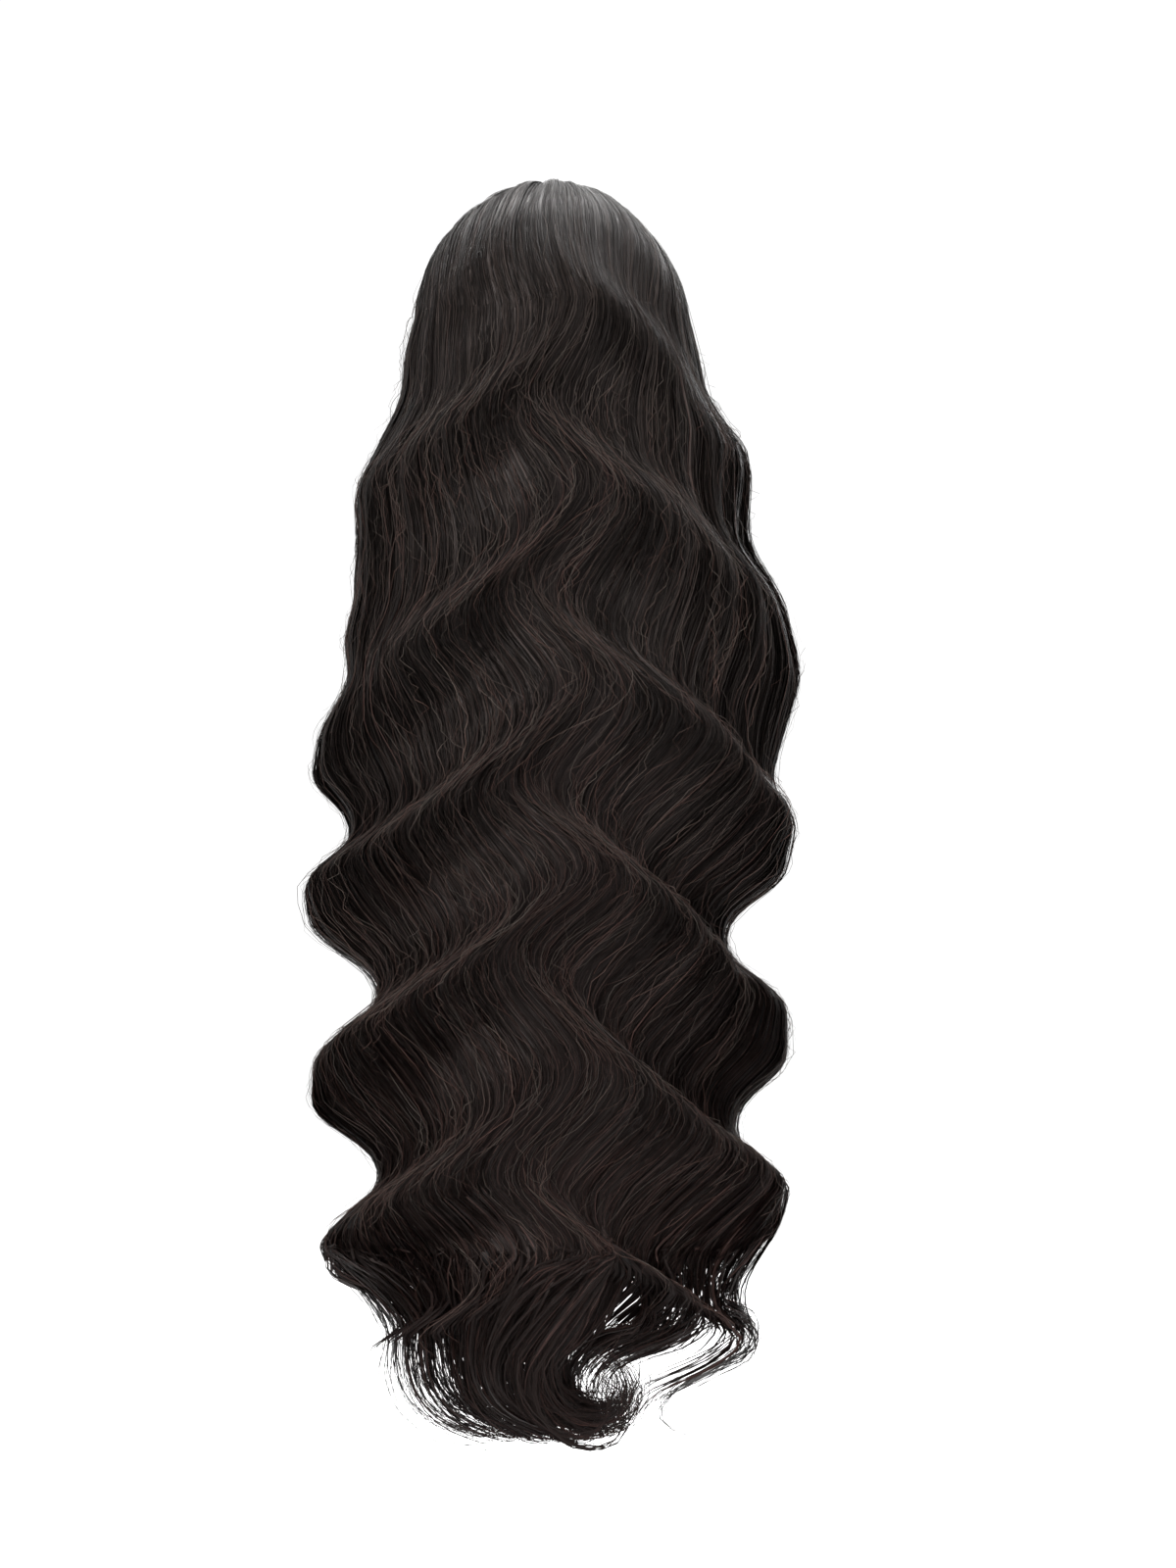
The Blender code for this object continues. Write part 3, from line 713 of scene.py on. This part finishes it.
def add_mesh(name, verts, quads, uv, material):
    mesh = bpy.data.meshes.new(name)
    mesh.vertices.add(len(verts))
    mesh.vertices.foreach_set("co", verts.astype(np.float32).ravel())
    mesh.loops.add(quads.size)
    mesh.loops.foreach_set("vertex_index", quads.astype(np.int32).ravel())
    mesh.polygons.add(len(quads))
    mesh.polygons.foreach_set("loop_start", np.arange(len(quads), dtype=np.int32) * 4)
    mesh.update(calc_edges=True)
    layer = mesh.uv_layers.new(name="OFBake")
    layer.data.foreach_set("uv", uv[quads.ravel()].astype(np.float32).ravel())
    mesh.shade_smooth()
    mesh.materials.append(material)
    piece = bpy.data.objects.new(name, mesh)
    bpy.context.scene.collection.objects.link(piece)
    return piece


def dress(piece, *nodes):
    """Hangs every hair piece on the root, and hides the nodes of the CAD that it stands for."""
    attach(piece, "root")
    if nodes:
        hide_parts(*nodes)


def nodes_of(material):
    material.use_nodes = True
    tree = material.node_tree
    return tree.nodes, tree.links, tree.nodes["Principled BSDF"]


def hair_material(name, count):
    """Dark brown hair for count strips: shades by strip and streak, the rare light shade painted
    highlight, and redder towards the tips, where it is also a little darker as painted shade.
    """
    dark, light, rare_glint, rough = SHADES[name]
    material = bpy.data.materials.new(name)
    nodes, links, shader = nodes_of(material)
    shader.inputs["Specular Tint"].default_value = SHEEN_TINT
    uv = nodes.new("ShaderNodeUVMap")
    uv.uv_map = "OFBake"
    parts = nodes.new("ShaderNodeSeparateXYZ")
    links.new(uv.outputs[0], parts.inputs[0])
    chances = []
    for share in (1, STREAKS):
        number = nodes.new("ShaderNodeMath")
        number.operation = "MULTIPLY"
        number.inputs[1].default_value = count * share
        links.new(parts.outputs["X"], number.inputs[0])
        strand = nodes.new("ShaderNodeMath")
        strand.operation = "FLOOR"
        links.new(number.outputs[0], strand.inputs[0])
        noise = nodes.new("ShaderNodeTexWhiteNoise")
        noise.noise_dimensions = "1D"
        links.new(strand.outputs[0], noise.inputs["W"])
        chances.append(noise)
    chance = nodes.new("ShaderNodeMix")
    chance.inputs[0].default_value = 0.5
    links.new(chances[0].outputs["Value"], chance.inputs[2])
    links.new(chances[1].outputs["Value"], chance.inputs[3])
    # The ramp runs from the dark to the common shade, then to the rare light shade that paints
    # highlight glints on a few strips
    shade = nodes.new("ShaderNodeValToRGB")
    shade.color_ramp.elements[0].color = (*dark, 1)
    shade.color_ramp.elements[1].color = (*rare_glint, 1)
    middle = shade.color_ramp.elements.new(COMMON_SHADES)
    middle.color = (*light, 1)
    links.new(chance.outputs[0], shade.inputs[0])
    # Redder towards the tips, and a little darker there as painted shade
    tint_and_shade = nodes.new("ShaderNodeMix")
    tint_and_shade.data_type = "RGBA"
    tint_and_shade.blend_type = "MULTIPLY"
    tint_and_shade.inputs[7].default_value = TIP_TINT_AND_SHADE
    lower = nodes.new("ShaderNodeMapRange")
    lower.inputs["From Min"].default_value = TINT_AND_SHADE_FROM
    lower.inputs["From Max"].default_value = TINT_AND_SHADE_TO
    links.new(parts.outputs["Y"], lower.inputs["Value"])
    links.new(lower.outputs[0], tint_and_shade.inputs[0])
    links.new(shade.outputs[0], tint_and_shade.inputs[6])
    links.new(tint_and_shade.outputs[2], shader.inputs["Base Color"])
    gloss = nodes.new("ShaderNodeMapRange")
    gloss.inputs["To Min"].default_value = rough - SMOOTHER
    gloss.inputs["To Max"].default_value = rough + ROUGHER
    links.new(chance.outputs[0], gloss.inputs["Value"])
    links.new(gloss.outputs[0], shader.inputs["Roughness"])
    shader.inputs["Specular IOR Level"].default_value = HAIR_GLOSS
    stretch = nodes.new("ShaderNodeMapping")
    stretch.inputs["Scale"].default_value = (count * STREAKS, FIBRES_ALONG, 1)
    links.new(uv.outputs[0], stretch.inputs[0])
    fibres = nodes.new("ShaderNodeTexNoise")
    fibres.inputs["Scale"].default_value = 1.0
    fibres.inputs["Detail"].default_value = 0.0
    links.new(stretch.outputs[0], fibres.inputs["Vector"])
    bump = nodes.new("ShaderNodeBump")
    bump.inputs["Strength"].default_value = FIBRE_STRENGTH
    bump.inputs["Distance"].default_value = FIBRE_RELIEF
    links.new(fibres.outputs["Fac"], bump.inputs["Height"])
    links.new(bump.outputs[0], shader.inputs["Normal"])
    return material


def under_material():
    """The dark mass under the strands: fine streaks along the hair."""
    material = bpy.data.materials.new("hair_under")
    nodes, links, shader = nodes_of(material)
    uv = nodes.new("ShaderNodeUVMap")
    uv.uv_map = "OFBake"
    stretch = nodes.new("ShaderNodeMapping")
    stretch.inputs["Scale"].default_value = UNDER_STREAKS
    links.new(uv.outputs[0], stretch.inputs[0])
    streaks = nodes.new("ShaderNodeTexNoise")
    streaks.inputs["Scale"].default_value = 1.0
    streaks.inputs["Detail"].default_value = 3.0
    links.new(stretch.outputs[0], streaks.inputs["Vector"])
    shade = nodes.new("ShaderNodeValToRGB")
    shade.color_ramp.elements[0].position = UNDER_SHADES[0]
    shade.color_ramp.elements[0].color = (*UNDER_DARK, 1)
    shade.color_ramp.elements[1].position = UNDER_SHADES[1]
    shade.color_ramp.elements[1].color = (*UNDER_LIGHT, 1)
    links.new(streaks.outputs["Fac"], shade.inputs[0])
    links.new(shade.outputs[0], shader.inputs["Base Color"])
    bump = nodes.new("ShaderNodeBump")
    bump.inputs["Strength"].default_value = UNDER_STRENGTH
    bump.inputs["Distance"].default_value = UNDER_RELIEF
    links.new(streaks.outputs["Fac"], bump.inputs["Height"])
    links.new(bump.outputs[0], shader.inputs["Normal"])
    shader.inputs["Roughness"].default_value = UNDER_ROUGH
    shader.inputs["Specular IOR Level"].default_value = HAIR_GLOSS
    return material


def under_hair(name, material):
    """The mass of hair under the strands, as a soft closed sheet from the crown down."""
    first, last, columns, end, nodes = SHEETS[name]
    q = np.linspace(first, last, columns)[:, None]
    bottom = end
    for height, beats in (SHEET_EDGE, SHEET_FINE_EDGE):
        bottom = bottom + height * np.sin(q * beats)
    t = np.linspace(SHEET_ROOT, 1, SHEET_DOME_ROWS)[None, :]
    z = RIM + (bottom - RIM) * np.linspace(0, 1, SHEET_FALL_ROWS)[None, 1:]
    crown, fall = over_crown(q, t), in_fall(q, z)
    outer = np.concatenate([crown[0], fall[0]], 1)
    inner = np.concatenate([crown[1], fall[1]], 1)
    way = outer - inner
    length = np.maximum(np.linalg.norm(way, axis=-1, keepdims=True), 1e-6)
    left = smoothstep((z - bottom) / SHEET_THINS_OVER)
    keep = np.concatenate([np.ones((len(q), t.shape[1])), left], 1)[..., None]
    face = outer - way / length * np.minimum(SHEET_BELOW, length / 2)
    back = outer - way * SHEET_BACK
    back = back + (face - way * SHEET_LEAST - back) * (1 - keep)
    rows = face.shape[1]
    sheets = np.stack([face, back]) * FACING
    verts = sheets.reshape(-1, 3)
    index = np.arange(2 * columns * rows).reshape(2, columns, rows)

    def grid(a, flip):
        quads = np.stack([a[:-1, :-1], a[:-1, 1:], a[1:, 1:], a[1:, :-1]], -1).reshape(-1, 4)
        return quads[:, ::-1] if flip else quads

    def strip(a, b, flip):
        quads = np.stack([a[:-1], a[1:], b[1:], b[:-1]], -1)
        return quads[:, ::-1] if flip else quads

    quads = np.concatenate([
        grid(index[0], False), grid(index[1], True),
        strip(index[0, :, 0], index[1, :, 0], False), strip(index[0, :, -1], index[1, :, -1], True),
        strip(index[0, 0], index[1, 0], True), strip(index[0, -1], index[1, -1], False),
    ])
    halves = np.array([0, 0.5])[:, None, None]
    across = np.linspace(SHEET_MARGIN, 0.5 - SHEET_MARGIN, columns)[None, :, None] + halves
    uv = np.stack(np.broadcast_arrays(across, np.linspace(0, 1, rows)[None, None, :]), -1)
    piece = add_mesh(name, verts, quads, uv.reshape(-1, 2), material)
    dress(piece, *nodes)


def back_hair(material, deep):
    """The long strands, made together and parted into a piece for each lock of the CAD."""
    rng = np.random.default_rng(SEED)
    q = np.concatenate([
        np.sort(spread_evenly(count, -BACK_LIMIT, BACK_LIMIT, rng))
        for count in (BACK_CARDS, BACK_STRANDS)
    ])
    card = np.arange(len(q)) < BACK_CARDS
    depth = rng.beta(*NEAR_SURFACE, len(q)) * UNDER_DEPTH
    depth = np.where(card, CARD_SUNK + depth, depth * FINE_DEPTH)
    rooted = rng.uniform(size=len(q)) < ROOT_STARTS
    start = np.where(rooted, 0, rng.uniform(*LATE_STARTS, len(q)))
    paths, outs = strands(q, depth, start, np.full(len(q), TIP_FROM), rng)
    paths, outs = add_curls(q, paths, outs, rng)
    widths = np.where(card, CARD_WIDTH, STRAND_WIDTH) * rng.uniform(*BACK_WIDTHS, len(q))
    roll = rng.normal(0, BACK_ROLL, len(q))
    q_low = np.sort(spread_evenly(UNDER_STRANDS, -BACK_LIMIT, BACK_LIMIT, rng))
    inner = rng.uniform(size=len(q_low)) < INNER_SHARE
    low_depth = np.where(inner, 1 - rng.beta(*NEAR_INNER_FACE, len(q_low)) * INNER_REACH,
                         rng.uniform(*UNDER_DEPTHS, len(q_low)))
    low_start = rng.uniform(*UNDER_STARTS, len(q_low))
    low_end = UNDER_END + UNDER_END_SPREAD * rng.beta(*NEAR_LOWEST, len(q_low))
    low_paths, low_outs = strands(q_low, low_depth, low_start, low_end, rng, UNDER_POINTS)
    low_widths = CARD_WIDTH * rng.uniform(*UNDER_WIDTHS, len(q_low))
    low_roll = rng.normal(0, UNDER_ROLL, len(q_low))
    for i, name in enumerate(LOCK_NAMES[1:-1], start=1):
        low, high = LOCK_LIMITS[i], LOCK_LIMITS[i + 1]
        mine = (q >= low) & (q < high)
        piece = ribbon_mesh(name + "_hair", paths[mine], outs[mine], widths[mine], roll[mine],
                            hair_material(material, int(mine.sum())), BACK_TAPER)
        dress(piece, name)
        # The strands behind get the darker finish, painted shade
        mine = (q_low >= low) & (q_low < high)
        piece = ribbon_mesh(name + "_under", low_paths[mine], low_outs[mine], low_widths[mine],
                            low_roll[mine], hair_material(deep, int(mine.sum())), UNDER_TAPER)
        dress(piece, name)


def side_hair(material):
    """The shorter hair in front of the ears, drawn in towards its tips."""
    for side, name in ((-1, "side_lock_left"), (1, "side_lock_right")):
        rng = np.random.default_rng(SEED + 10 + side)
        q = side * np.sort(spread_evenly(SIDE_STRANDS, BACK_LIMIT, 1, rng))
        near = rng.uniform(size=len(q)) < SIDE_NEAR_SHARE
        depth = np.where(near, rng.beta(*NEAR_SURFACE, len(q)) * SIDE_NEAR_DEPTH,
                         rng.uniform(*SIDE_DEPTHS, len(q)))
        rooted = rng.uniform(size=len(q)) < SIDE_ROOT_STARTS
        start = np.where(rooted, 0, rng.uniform(*SIDE_STARTS, len(q)))
        end = SIDE_TIPS[side] + rng.uniform(*SIDE_ENDS, len(q))
        paths, outs = strands(q, depth, start, end, rng, SHORT_POINTS, SIDE_JITTER)
        z = paths[..., 2]
        along = np.clip((SIDE_TIPS[side] + DRAWN_OVER - z) / DRAWN_OVER, 0, 1)
        middle = paths[np.argmin(np.abs(q - side * DRAWN_MIDDLE))]
        pull = DRAWN_IN * along**DRAWN_POWER
        heart = np.stack([np.interp(-z, -middle[:, 2], middle[:, k]) for k in (0, 1)], -1)
        paths[..., :2] += (heart - paths[..., :2]) * pull[..., None]
        widths = STRAND_WIDTH * rng.uniform(*SIDE_WIDTHS, len(q))
        piece = ribbon_mesh(name + "_hair", paths, outs, widths, rng.normal(0, SIDE_ROLL, len(q)),
                            hair_material(material, len(q)))
        dress(piece, name)


def flyaway_hair(material):
    """Single thin hairs that stand off the rest, lighter than the other hair as painted highlight."""
    rng = np.random.default_rng(SEED + 30)
    q = spread_evenly(FLYAWAYS, -BACK_LIMIT, BACK_LIMIT, rng)
    start = rng.uniform(*FLYAWAY_STARTS, len(q))
    end = -rng.uniform(*FLYAWAY_ENDS, len(q))
    paths, outs = strands(q, np.zeros(len(q)), start, end, rng, SHORT_POINTS, FLYAWAY_JITTER)
    lift = smoothstep(np.linspace(-1, 1, paths.shape[1]))[None, :, None]
    paths = paths + outs * lift * FLYAWAY_LIFT
    piece = ribbon_mesh("flyaway_hair", paths, outs, np.full(len(q), FLYAWAY_WIDTH),
                        rng.normal(0, FLYAWAY_ROLL, len(q)), hair_material(material, len(q)))
    dress(piece)


def crossing_hair(material):
    """Fine short hairs that lie over the waves at odd angles, lighter than the other hair as painted
    highlight.
    """
    rng = np.random.default_rng(SEED + 40)
    q = spread_evenly(CROSSING, -CROSSING_LIMIT, CROSSING_LIMIT, rng)
    top = RIM - rng.uniform(*CROSSING_TOPS, CROSSING)
    length = rng.uniform(*CROSSING_LENGTHS, CROSSING)
    along = np.linspace(0, 1, CROSSING_POINTS)[None, :]
    z = top[:, None] - length[:, None] * along
    lean = rng.normal(0, CROSSING_LEAN, (CROSSING, 1)) * (along - 0.5)
    outer, inner = in_fall(q[:, None] + lean, z)
    out = outer - inner
    out = out / np.maximum(np.linalg.norm(out, axis=-1, keepdims=True), 1e-6)
    stand = rng.uniform(*CROSSING_STANDS, (CROSSING, 1)) * MM
    paths = outer + out * stand[..., None]
    paths[..., 0] += wander(rng, CROSSING, CROSSING_POINTS, CROSSING_JITTER)
    piece = ribbon_mesh("crossing_hair", paths, out, np.full(CROSSING, CROSSING_WIDTH),
                        rng.normal(0, CROSSING_ROLL, CROSSING), hair_material(material, CROSSING))
    dress(piece)


def net_material(name):
    """A fine cloth net: raised threads over darker holes."""
    colour, scale, rough = NETS[name]
    material = bpy.data.materials.new(name)
    nodes, links, shader = nodes_of(material)
    place = nodes.new("ShaderNodeTexCoord")
    cells = nodes.new("ShaderNodeTexVoronoi")
    cells.feature = "DISTANCE_TO_EDGE"
    cells.inputs["Scale"].default_value = scale
    links.new(place.outputs["Object"], cells.inputs["Vector"])
    shade = nodes.new("ShaderNodeValToRGB")
    shade.color_ramp.elements[0].position = THREAD_EDGES[0]
    shade.color_ramp.elements[0].color = (*colour, 1)
    shade.color_ramp.elements[1].position = THREAD_EDGES[1]
    shade.color_ramp.elements[1].color = (*(c * HOLE_SHADE for c in colour), 1)
    links.new(cells.outputs["Distance"], shade.inputs[0])
    links.new(shade.outputs[0], shader.inputs["Base Color"])
    bump = nodes.new("ShaderNodeBump")
    bump.invert = True
    bump.inputs["Strength"].default_value = THREAD_STRENGTH
    bump.inputs["Distance"].default_value = THREAD_RELIEF
    links.new(cells.outputs["Distance"], bump.inputs["Height"])
    links.new(bump.outputs[0], shader.inputs["Normal"])
    shader.inputs["Roughness"].default_value = rough
    return material


def photo_camera():
    data = bpy.data.cameras.new("camera")
    data.sensor_width = SENSOR
    data.lens = SENSOR * CAMERA_DISTANCE / (PHOTO_HEIGHT * PIXEL)
    camera = bpy.data.objects.new("camera", data)
    right = (PHOTO_WIDTH / 2 - SEAT_PIXEL[0]) * PIXEL
    down = (PHOTO_HEIGHT / 2 - SEAT_PIXEL[1]) * PIXEL
    camera.location = (-right, HAIR_MIDDLE_Y + CAMERA_DISTANCE, -down)
    camera.rotation_euler = Vector((0, -1, 0)).to_track_quat("-Z", "Y").to_euler()
    bpy.context.scene.collection.objects.link(camera)
    bpy.context.scene.camera = camera


def soft_light(name, place, target, width, height, power):
    data = bpy.data.lights.new(name, "AREA")
    data.shape = "ELLIPSE"
    data.size = width
    data.size_y = height
    data.energy = power
    light = bpy.data.objects.new(name, data)
    light.location = place
    light.rotation_euler = (Vector(target) - Vector(place)).to_track_quat("-Z", "Y").to_euler()
    bpy.context.scene.collection.objects.link(light)


def studio(low):
    """A white floor far below the hair, a white surround and soft light from above."""
    world = bpy.data.worlds.new("studio")
    world.use_nodes = True
    world.node_tree.nodes["Background"].inputs[0].default_value = (1, 1, 1, 1)
    world.node_tree.nodes["Background"].inputs[1].default_value = SURROUND
    bpy.context.scene.world = world
    bpy.ops.mesh.primitive_circle_add(vertices=64, radius=FLOOR_RADIUS, fill_type="NGON",
                                      location=(0, 0, low - FLOOR_DROP))
    floor = bpy.context.object
    floor.name = "floor"
    material = bpy.data.materials.new("floor")
    nodes, links, shader = nodes_of(material)
    grain = nodes.new("ShaderNodeTexNoise")
    grain.inputs["Scale"].default_value = 3.0
    shade = nodes.new("ShaderNodeValToRGB")
    for element, grey in zip(shade.color_ramp.elements, FLOOR_GREYS):
        element.color = (grey, grey, grey, 1)
    links.new(grain.outputs["Fac"], shade.inputs[0])
    links.new(shade.outputs[0], shader.inputs["Base Color"])
    shader.inputs["Roughness"].default_value = FLOOR_ROUGH
    floor.data.materials.append(material)
    for name, light in LIGHTS.items():
        soft_light(name, *light)
    bpy.context.scene.view_settings.view_transform = "Standard"


def repaint(node, material):
    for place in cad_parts[node].material_slots:
        place.material = material


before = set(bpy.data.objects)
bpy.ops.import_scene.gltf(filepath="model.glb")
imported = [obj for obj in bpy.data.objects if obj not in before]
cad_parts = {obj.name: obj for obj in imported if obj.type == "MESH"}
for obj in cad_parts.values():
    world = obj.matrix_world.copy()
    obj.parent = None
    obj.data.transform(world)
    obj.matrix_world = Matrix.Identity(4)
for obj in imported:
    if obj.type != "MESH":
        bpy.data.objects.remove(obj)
cad_low, cad_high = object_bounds()
photo_camera()
studio(cad_low.z)

dark_mass = under_material()
for name in SHEETS:
    under_hair(name, dark_mass)
back_hair("hair", "hair_deep_painted_shade")
side_hair("hair_side")
flyaway_hair("hair_loose_painted_highlight")
crossing_hair("hair_crossing_painted_highlight")
repaint("wig_cap", net_material("cap_mesh"))
repaint("lace_front", net_material("lace"))
repaint("nape_band", net_material("elastic"))
